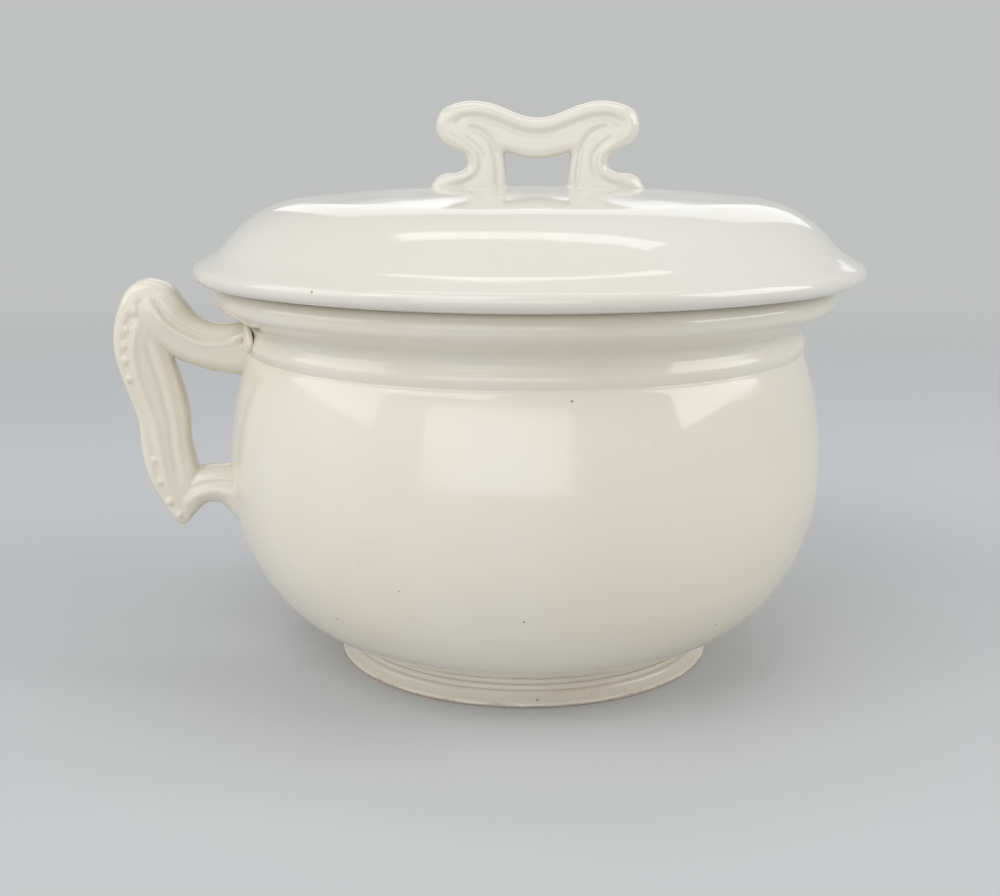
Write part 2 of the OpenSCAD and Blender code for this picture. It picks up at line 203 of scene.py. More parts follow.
@dataclass(frozen=True)
class Glaze:
    """A clear glaze over a warm white body."""

    name: str
    tone: Colour
    warm: Colour
    # Colour of the hollows (glaze pooling and painted shade together) and of the craze lines.
    pool_shade_and_craze: Colour
    gloss: float
    specks: float
    bare: Bare = Bare.NONE
    bare_line: float = 0.0
    clay: Colour = (0.62, 0.54, 0.43, 1.0)
    soil: Colour = (0.4464, 0.3888, 0.3096, 1.0)
    speck: Colour = (0.16, 0.11, 0.07, 1.0)
    ior: float = 1.52
    wear_reach: float = 0.0022
    wear_soft: float = 0.0004
    cloud_scale: float = 11.0
    patch_scale: float = 16.0
    smudge_scale: float = 34.0
    swell_scale: float = 42.0
    wipe_scale: float = 55.0
    wear_scale: float = 120.0
    craze_scale: float = 130.0
    speck_scale: float = 200.0
    peel_scale: float = 620.0
    grain_scale: float = 900.0

    def material(self) -> bpy.types.Material:
        """Builds the finish once, with its tint, glaze pooling and painted shade in hollows, specks,
        smudges and waves.

        Returns:
            The finish.
        """
        if self.name in bpy.data.materials:
            return bpy.data.materials[self.name]
        material = bpy.data.materials.new(self.name)
        graph = Graph(material)
        place = graph.add("ShaderNodeTexCoord").outputs["Object"]
        colour = self._specks(graph, place, self._tint(graph, place))
        smudge = graph.noise(place, self.smudge_scale, 3.0)
        rough = graph.span(smudge, 0.35, 0.72, self.gloss, self.gloss * 1.9)
        if self.bare is not Bare.NONE:
            worn = self._worn(graph, place)
            grain = graph.noise(place, self.grain_scale, 4.0)
            dirt = graph.blend(graph.span(grain, 0.35, 0.7), self.clay, self.soil)
            colour = graph.blend(worn, colour, dirt)
            rough = graph.maths("ADD", rough, graph.maths("MULTIPLY", worn, 0.55))
        shader = graph.add("ShaderNodeBsdfPrincipled", {
            "Base Color": colour,
            "Roughness": rough,
            "IOR": self.ior,
            "Normal": self._waves(graph, place),
        })
        graph.add("ShaderNodeOutputMaterial", {"Surface": shader.outputs["BSDF"]})
        return material

    def _tint(self, graph: Graph, place: Socket) -> Socket:
        """Tints the glaze: cloudy, and darker in hollows, partly as glaze pooling and partly as painted
        shade.

        Args:
            graph: The finish's nodes.
            place: Place on the piece.

        Returns:
            The colour.
        """
        clouds = graph.span(graph.noise(place, self.cloud_scale, 3.0), 0.36, 0.66)
        colour = graph.blend(clouds, self.tone, self.warm)
        # Hollows found by pointiness are darkened: partly glaze pooling, partly painted shade.
        hollow = graph.add("ShaderNodeNewGeometry").outputs["Pointiness"]
        pooling_and_shade = graph.span(hollow, 0.485, 0.44, 0.0, 0.75)
        return graph.blend(pooling_and_shade, colour, self.pool_shade_and_craze)

    def _specks(self, graph: Graph, place: Socket, colour: Socket) -> Socket:
        """Adds a few small dark specks, and patches of fine craze lines.

        Args:
            graph: The finish's nodes.
            place: Place on the piece.
            colour: Colour of the plain glaze.

        Returns:
            The colour with specks and lines.
        """
        cells = graph.add("ShaderNodeTexVoronoi", {"Vector": place, "Scale": self.speck_scale})
        chance = graph.add("ShaderNodeSeparateColor", {0: cells.outputs["Color"]})
        chosen = graph.maths("LESS_THAN", chance.outputs[0], self.specks)
        reach = graph.span(chance.outputs[1], 0.0, 1.0, 0.03, 0.11)
        inside = graph.maths("LESS_THAN", cells.outputs["Distance"], reach)
        spot = graph.maths("MULTIPLY", chosen, inside)
        colour = graph.blend(graph.maths("MULTIPLY", spot, 0.7), colour, self.speck)
        net = graph.add("ShaderNodeTexVoronoi", {"Vector": place, "Scale": self.craze_scale},
                        feature="DISTANCE_TO_EDGE")
        line = graph.span(net.outputs["Distance"], 0.016, 0.004)
        patch = graph.span(graph.noise(place, self.patch_scale, 2.0), 0.52, 0.68, 0.0, 0.1)
        return graph.blend(graph.maths("MULTIPLY", line, patch), colour, self.pool_shade_and_craze)

    def _worn(self, graph: Graph, place: Socket) -> Socket:
        """Finds where the glaze is gone: wiped thin all over, or worn off below a ragged line.

        Args:
            graph: The finish's nodes.
            place: Place on the piece.

        Returns:
            How far the bare clay shows, from 0 to 1.
        """
        if self.bare is Bare.ALL:
            return graph.span(graph.noise(place, self.wipe_scale, 4.0), 0.45, 0.75, 0.1, 0.6)
        height = graph.add("ShaderNodeSeparateXYZ", {0: place}).outputs["Z"]
        ragged = graph.maths("SUBTRACT", graph.noise(place, self.wear_scale, 3.0), 0.5)
        edge = graph.maths("ADD", height, graph.maths("MULTIPLY", ragged, self.wear_reach))
        return graph.span(edge, self.bare_line + self.wear_soft, self.bare_line - self.wear_soft)

    def _waves(self, graph: Graph, place: Socket) -> Socket:
        """Makes the glaze slightly uneven, with slow swells and a fine peel.

        Args:
            graph: The finish's nodes.
            place: Place on the piece.

        Returns:
            The normal.
        """
        swell = graph.add("ShaderNodeBump", {
            "Strength": 0.3, "Distance": 0.0006, "Height": graph.noise(place, self.swell_scale, 1.0)})
        peel = graph.add("ShaderNodeBump", {
            "Strength": 0.16, "Distance": 0.00004, "Height": graph.noise(place, self.peel_scale, 2.0),
            "Normal": swell.outputs["Normal"]})
        return peel.outputs["Normal"]


@dataclass
class Piece:
    """One clay piece: its name, the node it stands for, its body and its finish."""

    name: str
    node: str
    body: str
    slot: str
    glaze: Glaze

    def shape(self) -> bpy.types.Object:
        """Builds the mesh."""
        raise NotImplementedError

    def make(self) -> None:
        """Builds the piece, glazes it and ties it to its body."""
        piece = self.shape()
        piece.name = piece.data.name = self.name
        piece.data.materials.clear()
        piece.data.materials.append(self.glaze.material())
        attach(piece, self.body)
        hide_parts(self.node)
        LOG.info("%s: %d faces", self.name, len(piece.data.polygons))


@dataclass
class Turned(Piece):
    """A piece turned on a wheel: a section drawn point by point and spun."""

    steps: int = 192
    axis: Pair = (0.0, 0.0)
    weld: float = 2e-6
    crease: float = 55.0

    def section(self) -> list[Pair]:
        """Gives the section as points of [radius, height] in millimetres."""
        raise NotImplementedError

    def shape(self) -> bpy.types.Object:
        """Extrudes a point along the section and spins it round the axis.

        Returns:
            The turned piece.
        """
        deselect()
        line = [Vector((self.axis[0] + r, self.axis[1], z)) * MM for r, z in self.section()]
        bpy.ops.mesh.primitive_plane_add(size=MM)
        piece = bpy.context.active_object
        bpy.ops.object.mode_set(mode="EDIT")
        bpy.ops.mesh.select_all(action="SELECT")
        bpy.ops.mesh.merge(type="CENTER")
        bpy.ops.transform.translate(value=line[0])
        for before, after in zip(line, line[1:]):
            bpy.ops.mesh.extrude_region_move(TRANSFORM_OT_translate={"value": after - before})
        bpy.ops.mesh.select_all(action="SELECT")
        centre = (self.axis[0] * MM, self.axis[1] * MM, 0.0)
        bpy.ops.mesh.spin(steps=self.steps, angle=2 * math.pi, center=centre, axis=(0.0, 0.0, 1.0))
        bpy.ops.mesh.select_all(action="SELECT")
        bpy.ops.mesh.remove_doubles(threshold=self.weld)
        bpy.ops.mesh.normals_make_consistent(inside=False)
        bpy.ops.object.mode_set(mode="OBJECT")
        bpy.ops.object.shade_smooth_by_angle(angle=math.radians(self.crease))
        return piece


@dataclass
class PotShell(Turned):
    """The round body: base, belly, groove, collar, neck and rolled lip."""

    pot_h: float = 146.0
    neck_r: float = 105.0
    belly_r: float = 113.75
    belly_z: float = 75.92
    power: float = 2.12
    base_r: float = 58.0
    foot_h: float = 10.0
    floor_t: float = 8.0
    wall: float = 6.0
    groove_z: float = 120.5
    groove_t: float = 0.6
    collar_t: float = 1.3
    lip_r: float = 117.5
    lip_edge: float = 4.8
    flare: float = 30.0
    turn: float = 5.2

    def under_belly(self, low: float, wide: float, count: int) -> list[Pair]:
        """Gives the curve from the base out to the widest ring.

        Args:
            low: Height where the curve starts.
            wide: Radius of the widest ring.
            count: Number of steps.

        Returns:
            The points, from the base outwards.
        """
        k = 2 / self.power
        turns = [math.pi / 2 * i / count for i in range(count + 1)]
        return [(self.base_r + (wide - self.base_r) * math.sin(t) ** k,
                 self.belly_z - (self.belly_z - low) * max(math.cos(t), 0.0) ** k) for t in turns]

    def section(self) -> list[Pair]:
        """Draws the section from the middle of the base, over the lip, to the middle of the floor.

        Returns:
            The points of the section.
        """
        inward = self.belly_r - self.neck_r - 1
        rise = self.groove_z - self.groove_t - self.belly_z
        upper_r = (rise ** 2 + inward ** 2) / (2 * inward)
        upper_c = (self.belly_r - upper_r, self.belly_z)
        upper_a = math.degrees(math.asin(rise / upper_r))
        lip_c = (self.lip_r - self.lip_edge, self.pot_h - self.lip_edge)
        top = (lip_c[0] + self.lip_edge * sine(self.flare), lip_c[1] - self.lip_edge * cosine(self.flare))
        foot = self.neck_r + self.turn * (1 - sine(self.flare))
        run = top[0] - foot
        waist = top[1] - run * tangent(self.flare) - self.turn * cosine(self.flare)
        collar = through([
            (self.neck_r + 0.95, self.groove_z - 0.8), (self.neck_r + 1 - self.groove_t, self.groove_z),
            (self.neck_r + 0.8, self.groove_z + 1.1), (self.neck_r + self.collar_t, self.groove_z + 3.3),
            (self.neck_r + 0.6, self.groove_z + 5.7), (self.neck_r, waist)], 6)
        mouth = self.neck_r - self.wall + 2
        inside = through([
            (lip_c[0], self.pot_h), (mouth + 7.5, self.pot_h), (mouth + 4.4, self.pot_h - 0.6),
            (mouth + 2, self.pot_h - 2.6), (mouth, lip_c[1] - 3),
            (self.neck_r - self.wall + 0.3, waist + 2),
            (self.neck_r - self.wall + 0.4, self.groove_z + 4)], 5)
        outer = [(0.0, self.foot_h), (self.base_r * 0.5, self.foot_h)]
        outer += self.under_belly(self.foot_h, self.belly_r, 40)
        outer += arc(upper_c, upper_r, upper_a / 26, upper_a * 0.985, 25) + collar
        outer += arc((self.neck_r + self.turn, waist), self.turn, 174, 90 + self.flare, 12)
        outer += [(foot + run * k, top[1] - run * (1 - k) * tangent(self.flare)) for k in (0.25, 0.5, 0.75)]
        outer += arc(lip_c, self.lip_edge, self.flare - 90, 84, 26)
        inner = self.under_belly(self.foot_h + self.floor_t, self.belly_r - self.wall, 30)
        inner += arc(upper_c, upper_r - self.wall, upper_a / 20, upper_a, 18)
        centre = [(self.base_r * 0.5, self.foot_h + self.floor_t), (0.0, self.foot_h + self.floor_t)]
        return outer + inside + inner[::-1] + centre


@dataclass
class FootRing(Turned):
    """The foot: a spreading base with two thin beads above it."""

    foot_r: float = 72.75
    foot_h: float = 10.0
    width: float = 14.25
    flare: float = 4.6
    bead: float = 1.2

    def section(self) -> list[Pair]:
        """Draws the section as a closed loop, its top sunk in the body's underside.

        Returns:
            The points of the section.
        """
        waist = self.foot_r - self.flare
        inner = self.foot_r - self.width
        line = [(inner, 0.8), (inner + 0.25, 0.25), (inner + 0.8, 0.0)]
        line += arc((self.foot_r - 1, 1.0), 1.0, -90, 38, 10)
        base = self.foot_h * 0.46
        spread = ((0.66, 0.42), (0.4, 0.57), (0.2, 0.77), (0.08, 1.0))
        line += [(waist + self.flare * out, base * up) for out, up in spread]
        for share in (0.63, 0.87):
            line += arc((waist, self.foot_h * share), self.bead, -72, 72, 10)
        line += [(waist + 0.2, self.foot_h + 0.2), (waist - 0.6, self.foot_h + 1.4)]
        line += [(inner, self.foot_h + 1.2)]
        return line + line[:1]


@dataclass
class LidDome(Turned):
    """The lid: a rolled rim, a sloping skirt, a shoulder and a shallow cap."""

    seat_z: float = 146.05
    rise: float = 35.0
    rim_r: float = 126.0
    edge: float = 3.3
    edge_up: float = 1.1
    rim_slope: float = 29.0
    rim_run: float = 6.7
    skirt: float = 46.0
    shoulder_r: float = 40.0
    cap: float = 6.0
    wall: float = 6.0
    seat_r: float = 116.5
    ledge_r: float = 94.0

    def corner(self) -> Pair:
        """Finds the soft corner where the skirt leaves the rim.

        Returns:
            The corner, as radius and height.
        """
        out = self.rim_r - self.edge + self.edge * sine(self.rim_slope) - self.rim_run
        lift = self.edge * (1 + cosine(self.rim_slope)) + self.rim_run * tangent(self.rim_slope)
        return out, self.seat_z + self.edge_up + lift

    def dome(self, depth: float, count: int) -> list[Pair]:
        """Gives the line of the shoulder and cap.

        Args:
            depth: Depth below the glazed face.
            count: Number of steps in each arc.

        Returns:
            The points, from the shoulder to the middle.
        """
        top = self.seat_z + self.rise
        start = self.corner()
        run = start[0] - self.shoulder_r * (sine(self.skirt) - sine(self.cap))
        bend = self.shoulder_r * (cosine(self.cap) - cosine(self.skirt))
        lift = top - start[1] - bend - run * tangent(self.cap / 2)
        length = lift / (sine(self.skirt) - cosine(self.skirt) * tangent(self.cap / 2))
        edge = run - length * cosine(self.skirt)
        cap_r = edge / sine(self.cap)
        centre = (edge - self.shoulder_r * sine(self.cap),
                  top - cap_r * (1 - cosine(self.cap)) - self.shoulder_r * cosine(self.cap))
        line = arc(centre, self.shoulder_r - depth, 90 - self.skirt, 90 - self.cap, count)
        first = 90 - self.cap * (1 - 1 / count)
        return line + arc((0.0, top - cap_r), cap_r - depth, first, 90, count - 1)

    def section(self) -> list[Pair]:
        """Draws the section from the middle of the top, round the rim, to the middle underneath.

        Returns:
            The points of the section.
        """
        centre = (self.rim_r - self.edge, self.seat_z + self.edge_up + self.edge)
        face = self.dome(0.0, 26)
        start = self.corner()
        rise = (face[0][0] - start[0], face[0][1] - start[1])
        skirt = [(start[0] + rise[0] * k / 10, start[1] + rise[1] * k / 10) for k in range(2, 10)]
        roll = arc(centre, self.edge, -84, 90 - self.rim_slope, 26)
        fall = (start[0] - roll[-1][0], start[1] - roll[-1][1])
        slope = [(roll[-1][0] + fall[0] * k / 5, roll[-1][1] + fall[1] * k / 5) for k in range(1, 4)]
        turn = through([slope[-1], (start[0] + 0.12, start[1] + 0.16), skirt[0]], 6)[1:-1]
        rim = turn[::-1] + slope[::-1] + roll[::-1]
        seat = (self.seat_r, self.seat_z)
        under = through([roll[0], (self.seat_r + 1.6, self.seat_z + 0.7), seat], 4)[1:]
        ledge = [(self.ledge_r + 3, self.seat_z), (self.ledge_r, self.seat_z)]
        ledge += [(self.ledge_r, self.seat_z + 3)]
        return face[::-1] + skirt[::-1] + rim + under + ledge + self.dome(self.wall, 16)


@dataclass
class LidFlange(Turned):
    """The ring under the lid that keeps it in the mouth."""

    top_z: float = 146.3
    depth: float = 7.25
    outer_r: float = 99.5
    thick: float = 5.5
    inner_round: float = 1.6
    outer_round: float = 2.0

    def section(self) -> list[Pair]:
        """Draws the section as a closed loop with rounded lower edges.

        Returns:
            The points of the section.
        """
        low = self.top_z - self.depth
        inner = self.outer_r - self.thick
        near = (inner + self.inner_round, low + self.inner_round)
        far = (self.outer_r - self.outer_round, low + self.outer_round)
        line = [(inner, self.top_z)] + arc(near, self.inner_round, 180, 270, 8)
        line += arc(far, self.outer_round, -90, 0, 8) + [(self.outer_r, self.top_z)]
        return line + line[:1]


@dataclass(frozen=True)
class Mark:
    """A raised or sunk line drawn on the faces of a moulded bar, in millimetres."""

    points: tuple[Pair, ...]
    height: float
    width: float
    fade: float = 0.12

    def field(self) -> Callable[[float, float], float]:
        """Measures how far the line lifts the face.

        Returns:
            A function that gives the lift at a place of the drawing.
        """
        line = through(self.points, 10)
        last = len(line) - 1
        tree = KDTree(len(line))
        for i, (x, y) in enumerate(line):
            tree.insert((x, y, 0.0), i)
        tree.balance()

        def lift(x: float, y: float) -> float:
            """Gives the lift at one place.

            Args:
                x: Place across.
                y: Place down.

            Returns:
                The lift, which fades out at both ends of the line.
            """
            _, i, gap = tree.find((x, y, 0.0))
            ends = ease(min(i, last - i) / last, -0.01, self.fade)
            return self.height * ends * math.exp(-(gap / self.width) ** 2)

        return lift


@dataclass(frozen=True)
class Slab:
    """Section of a moulded bar: a slab with rounded edges and lines on its faces."""

    half: float
    outer_power: float
    inner_power: float
    marks: tuple[Mark, ...]
    count: int = 60


@dataclass
class Moulded(Piece):
    """A piece pressed in a mould: swept bars and beads fused into one soft skin."""

    voxel: float = 0.45
    rounds: int = 5
    strand_sides: int = 16

    def place(self, across: float, side: float, up: float) -> Vector:
        """Gives a point of the piece's own drawing in the frame, in metres."""
        raise NotImplementedError

    def parts(self) -> list[bpy.types.Object]:
        """Builds the overlapping parts."""
        raise NotImplementedError

    def sweep(self, rings: Sequence[Sequence[Vector]]) -> bpy.types.Object:
        """Extrudes a filled ring from station to station.

        Args:
            rings: The ring's points at each station, in order.

        Returns:
            The closed bar.
        """
        deselect()
        bpy.ops.mesh.primitive_circle_add(vertices=len(rings[0]), radius=MM, fill_type="NGON")
        bar = bpy.context.active_object
        bpy.ops.object.mode_set(mode="EDIT")
        mesh = bmesh.from_edit_mesh(bar.data)
        slots = {vert.index: i for i, vert in enumerate(mesh.verts)}
        for vert in mesh.verts:
            vert.co = rings[0][slots[vert.index]]
        for ring in rings[1:]:
            bpy.ops.mesh.extrude_region_move()
            mesh = bmesh.from_edit_mesh(bar.data)
            mesh.verts.index_update()
            moved: dict[int, int] = {}
            for vert in [v for v in mesh.verts if v.select]:
                old = next(e.other_vert(vert) for e in vert.link_edges if not e.other_vert(vert).select)
                moved[vert.index] = slots[old.index]
                vert.co = ring[moved[vert.index]]
            slots = moved
        bmesh.update_edit_mesh(bar.data)
        bpy.ops.mesh.select_all(action="SELECT")
        bpy.ops.mesh.normals_make_consistent(inside=False)
        bpy.ops.object.mode_set(mode="OBJECT")
        return bar

    def band(
        self, outer: Sequence[Triple], inner: Sequence[Pair], slab: Slab, steps: int = 5,
    ) -> bpy.types.Object:
        """Sweeps a slab between two lines.

        Args:
            outer: Outer line as [across, up, share of thickness].
            inner: Inner line as [across, up], point for point.
            slab: The bar's section.
            steps: Steps between two points.

        Returns:
            The closed bar.
        """
        lifts = [mark.field() for mark in slab.marks]
        rings: list[list[Vector]] = []
        for a, b in zip(through(outer, steps), through(inner, steps)):
            face: list[Triple] = []
            for i in range(slab.count + 1):
                share = 0.5 - 0.5 * math.cos(math.pi * i / slab.count)
                x, y = a[0] + (b[0] - a[0]) * share, a[1] + (b[1] - a[1]) * share
                power = slab.outer_power if share < 0.5 else slab.inner_power
                full = max(1 - abs(2 * share - 1) ** power, 0.0) ** (1 / power)
                face.append((x, full * (slab.half * a[2] + sum(lift(x, y) for lift in lifts)), y))
            back = [(x, -side, y) for x, side, y in face[-2:0:-1]]
            rings.append([self.place(*spot) for spot in face + back])
        return self.sweep(rings)

    def tube(
        self, points: Sequence[Triple], radius: Callable[[float], float], steps: int = 6,
    ) -> bpy.types.Object:
        """Sweeps a round strand along a smooth line.

        Args:
            points: The line as [across, side, up].
            radius: Radius at a share of the way along.
            steps: Steps between two points.

        Returns:
            The closed strand.
        """
        line = [self.place(*p) for p in through(points, steps)]
        turns = [2 * math.pi * k / self.strand_sides for k in range(self.strand_sides)]
        aside = Vector((0.3, 1.0, 0.2))
        rings: list[list[Vector]] = []
        for i, spot in enumerate(line):
            ahead = (line[min(i + 1, len(line) - 1)] - line[max(i - 1, 0)]).normalized()
            side = ahead.cross(aside).normalized()
            rise = ahead.cross(side)
            size = radius(i / (len(line) - 1)) * MM
            rings.append([spot + (side * math.cos(t) + rise * math.sin(t)) * size for t in turns])
        return self.sweep(rings)

    def bead(
        self, across: float, side: float, up: float, radius: float, stretch: Triple,
    ) -> bpy.types.Object:
        """Adds a bead and squashes it in edit mode.

        Args:
            across: Place across.
            side: Place from side to side.
            up: Place up.
            radius: Radius in millimetres.
            stretch: Stretch along the frame's axes.

        Returns:
            The bead.
        """
        deselect()
        spot = self.place(across, side, up)
        bpy.ops.mesh.primitive_uv_sphere_add(segments=32, ring_count=16, radius=radius * MM, location=spot)
        bead = bpy.context.active_object
        bpy.ops.object.mode_set(mode="EDIT")
        bpy.ops.mesh.select_all(action="SELECT")
        bpy.ops.transform.resize(value=stretch, center_override=spot)
        bpy.ops.object.mode_set(mode="OBJECT")
        return bead

    def shape(self) -> bpy.types.Object:
        """Joins the parts and fuses them into one soft skin.

        Returns:
            The moulded piece.
        """
        parts = self.parts()
        deselect()
        for part in parts:
            part.select_set(True)
        bpy.context.view_layer.objects.active = parts[0]
        bpy.ops.object.join()
        piece = bpy.context.active_object
        bpy.ops.object.transform_apply(location=True, rotation=True, scale=True)
        skin = piece.modifiers.new("skin", "REMESH")
        skin.mode = "VOXEL"
        skin.voxel_size = self.voxel * MM
        skin.use_smooth_shade = True
        bpy.ops.object.modifier_apply(modifier=skin.name)
        soft = piece.modifiers.new("soft", "SMOOTH")
        soft.factor = 0.5
        soft.iterations = self.rounds
        bpy.ops.object.modifier_apply(modifier=soft.name)
        bpy.ops.object.shade_smooth()
        return piece


@dataclass
class PotHandle(Moulded):
    """The ear-shaped handle: grip, two arms, beads and a leaf at the upper root."""

    reach: float = 155.35
    top: float = 147.6
    grip_half: float = 8.0
    arm_half: float = 9.5
    bead_r: float = 1.9
    leaf_r: float = 106.6

    def place(self, across: float, side: float, up: float) -> Vector:
        """Gives a point from inward and downward distances in the frame, in metres."""
        return Vector((across - self.reach, side, self.top - up)) * MM

    def parts(self) -> list[bpy.types.Object]:
        """Builds the grip, arms, beads and leaf."""
        return [self.grip(), self.upper_arm(), self.lower_arm()] + self.beads() + self.leaf()

    def grip(self) -> bpy.types.Object:
        """Builds the grip from the ear at the top to the tail.

        Returns:
            The grip.
        """
        outer = [
            (27.0, 9.6, 0.6), (24.3, 4.9, 0.86), (20.5, 1.4, 0.95), (12.6, 0.0, 1.0), (5.7, 4.3, 1.0),
            (1.5, 13.6, 1.0), (0.0, 22.3, 1.0), (0.6, 30.5, 1.0), (3.9, 42.0, 1.0), (7.4, 53.0, 1.0),
            (8.1, 63.4, 1.0), (9.9, 74.6, 1.0), (14.7, 85.0, 0.95), (17.9, 90.2, 0.86),
            (20.2, 93.4, 0.66), (21.6, 94.5, 0.36)]
        inner = [
            (25.0, 14.0), (22.8, 13.0), (20.3, 13.0), (17.0, 14.5), (15.4, 16.5), (16.6, 20.0),
            (19.2, 24.2), (21.9, 30.4), (25.3, 41.8), (27.0, 52.0), (27.1, 62.0), (29.2, 73.0),
            (29.2, 81.5), (27.2, 89.4), (24.8, 93.1), (22.9, 94.6)]
        hollow = (
            (12.5, 7.5), (9.0, 11.2), (6.0, 17.6), (4.9, 24.0), (4.7, 30.0), (6.2, 37.2), (9.0, 46.0),
            (11.6, 55.0), (12.6, 62.0), (13.5, 68.5), (15.2, 77.0), (18.6, 85.0), (21.6, 90.0))
        ridge = (
            (9.6, 15.0), (8.4, 22.0), (8.0, 28.0), (8.9, 36.0), (11.7, 44.8), (14.4, 53.4),
            (15.4, 60.0), (16.0, 66.5), (17.6, 75.0), (20.8, 82.5))
        crease = (
            (12.4, 21.0), (14.1, 28.6), (16.4, 36.1), (18.2, 44.8), (19.8, 53.4), (20.2, 62.0),
            (21.2, 70.7), (23.0, 78.2))
        inner_crease = ((17.6, 24.0), (20.4, 33.0), (22.6, 44.0), (23.8, 54.0), (24.2, 63.0), (25.6, 73.0))
        slab = Slab(self.grip_half * 0.97, 3.2, 3.6, (
            Mark(hollow, -0.8, 1.4), Mark(ridge, 0.55, 1.2), Mark(crease, -0.75, 1.2),
            Mark(inner_crease, -0.35, 1.0)))
        return self.band(outer, inner, slab)

    def upper_arm(self) -> bpy.types.Object:
        """Builds the upper arm from its root in the neck out to the scroll in the ear.

        Returns:
            The upper arm.
        """
        crown = [
            (53.0, 17.0, 1.0), (46.5, 16.9, 1.0), (40.6, 17.0, 1.0), (36.3, 16.3, 1.0),
            (32.7, 14.7, 1.0), (29.7, 12.4, 1.0), (27.4, 9.2, 1.0), (24.4, 5.8, 1.0), (20.2, 3.6, 0.97),
            (15.8, 4.2, 0.88), (12.6, 6.2, 0.66)]
        under = [
            (50.0, 37.2), (46.0, 36.8), (39.5, 35.8), (34.0, 34.4), (29.0, 32.7), (24.0, 30.6),
            (18.9, 26.7), (14.2, 22.6), (10.5, 18.0), (8.9, 13.4), (9.4, 9.4)]
        flute = (
            (15.6, 5.6), (18.1, 9.5), (20.6, 13.4), (25.0, 17.0), (29.4, 19.4), (33.8, 21.0),
            (38.9, 21.5), (43.5, 20.9), (49.0, 20.0))
        strand = (
            (17.2, 12.4), (21.3, 17.4), (28.0, 21.4), (32.4, 23.4), (37.9, 24.0), (42.5, 23.3),
            (49.0, 21.8))
        crease = (
            (22.8, 11.0), (25.1, 13.9), (28.5, 16.2), (32.6, 18.0), (36.5, 19.1), (41.0, 19.0),
            (47.0, 18.0))
        groove = ((17.0, 16.5), (20.6, 21.0), (26.6, 25.0), (34.0, 27.6), (42.0, 28.4), (50.0, 27.6))
        slab = Slab(self.arm_half, 2.5, 2.5, (
            Mark(flute, -1.3, 1.15, 0.05), Mark(strand, 0.65, 1.1, 0.1), Mark(crease, -0.4, 0.8, 0.3),
            Mark(groove, -0.3, 1.4, 0.2)))
        return self.band(crown, under, slab)

    def lower_arm(self) -> bpy.types.Object:
        """Builds the lower arm from its root in the belly out to the tail.

        Returns:
            The lower arm.
        """
        crown = [
            (44.8, 71.1, 1.0), (42.0, 71.2, 1.0), (38.0, 71.4, 1.0), (34.0, 71.6, 1.0),
            (30.4, 72.0, 1.0), (26.8, 73.4, 1.0), (22.6, 76.2, 0.92)]
        under = [
            (50.5, 105.5), (44.2, 95.4), (38.6, 87.6), (34.6, 86.1), (30.9, 86.9), (27.7, 90.0),
            (24.6, 92.6)]
        groove = ((20.5, 84.5), (23.4, 81.6), (27.1, 79.2), (33.1, 77.4), (39.0, 77.4), (46.0, 78.8))
        ridge = ((22.6, 87.0), (26.0, 83.6), (30.0, 81.6), (35.0, 80.8), (40.0, 81.8), (46.0, 85.0))
        slab = Slab(self.arm_half - 1.4, 2.4, 2.4, (Mark(groove, -0.65, 1.1), Mark(ridge, 0.5, 1.5)))
        return self.band(crown, under, slab)

    def beads(self) -> list[bpy.types.Object]:
        """Builds the bead rows in the hollow of the grip, on both faces.

        Returns:
            The beads.
        """
        row = [
            (9.1, 11.2, 1.3), (5.9, 18.4, 1.0), (4.9, 24.2, 0.95), (4.8, 29.8, 0.9), (6.0, 36.6, 0.85),
            (13.4, 68.0, 0.85), (15.0, 76.4, 0.9), (18.2, 84.4, 0.9), (21.4, 89.6, 0.8)]
        depth = self.grip_half - self.bead_r * 1.12
        stretch = (1.0, 1.0, 1.15)
        return [self.bead(x, side * depth, y, self.bead_r * size, stretch)
                for x, y, size in row for side in (-1, 1)]

    def leaf(self) -> list[bpy.types.Object]:
        """Builds the looped leaf on each side of the upper root, and the strand above it.

        Returns:
            The strands and the leaves' filled middles.
        """
        parts: list[bpy.types.Object] = []
        loop = [
            (5.0, 133.4), (12.6, 133.0), (19.4, 131.4), (24.2, 128.4), (25.2, 125.0), (21.6, 122.8),
            (16.8, 123.2), (14.4, 125.6), (15.6, 128.4), (18.6, 130.6)]
        root = [
            (43.0, 7.9, 22.6), (46.4, 8.9, 21.6), (49.0, 11.2, 20.4), (51.0, 15.4, 19.0),
            (51.9, 18.6, 17.0)]
        heart = (self.reach - 104.5, 19.4, self.top - 126.6)
        heart_r = 5.6
        heart_flat = (0.22, 1.0, 0.7)
        for side in (-1, 1):
            ring = [(self.reach - math.sqrt(self.leaf_r ** 2 - y * y), side * y, self.top - z)
                    for y, z in loop]
            strand = [(x, side * y, z) for x, y, z in root]
            parts.append(self.tube(ring, lambda t: 1.25 - 0.25 * t))
            parts.append(self.bead(heart[0], side * heart[1], heart[2], heart_r, heart_flat))
            parts.append(self.tube(strand, lambda t: 0.8 + 2.4 * t * (1 - t)))
        return parts


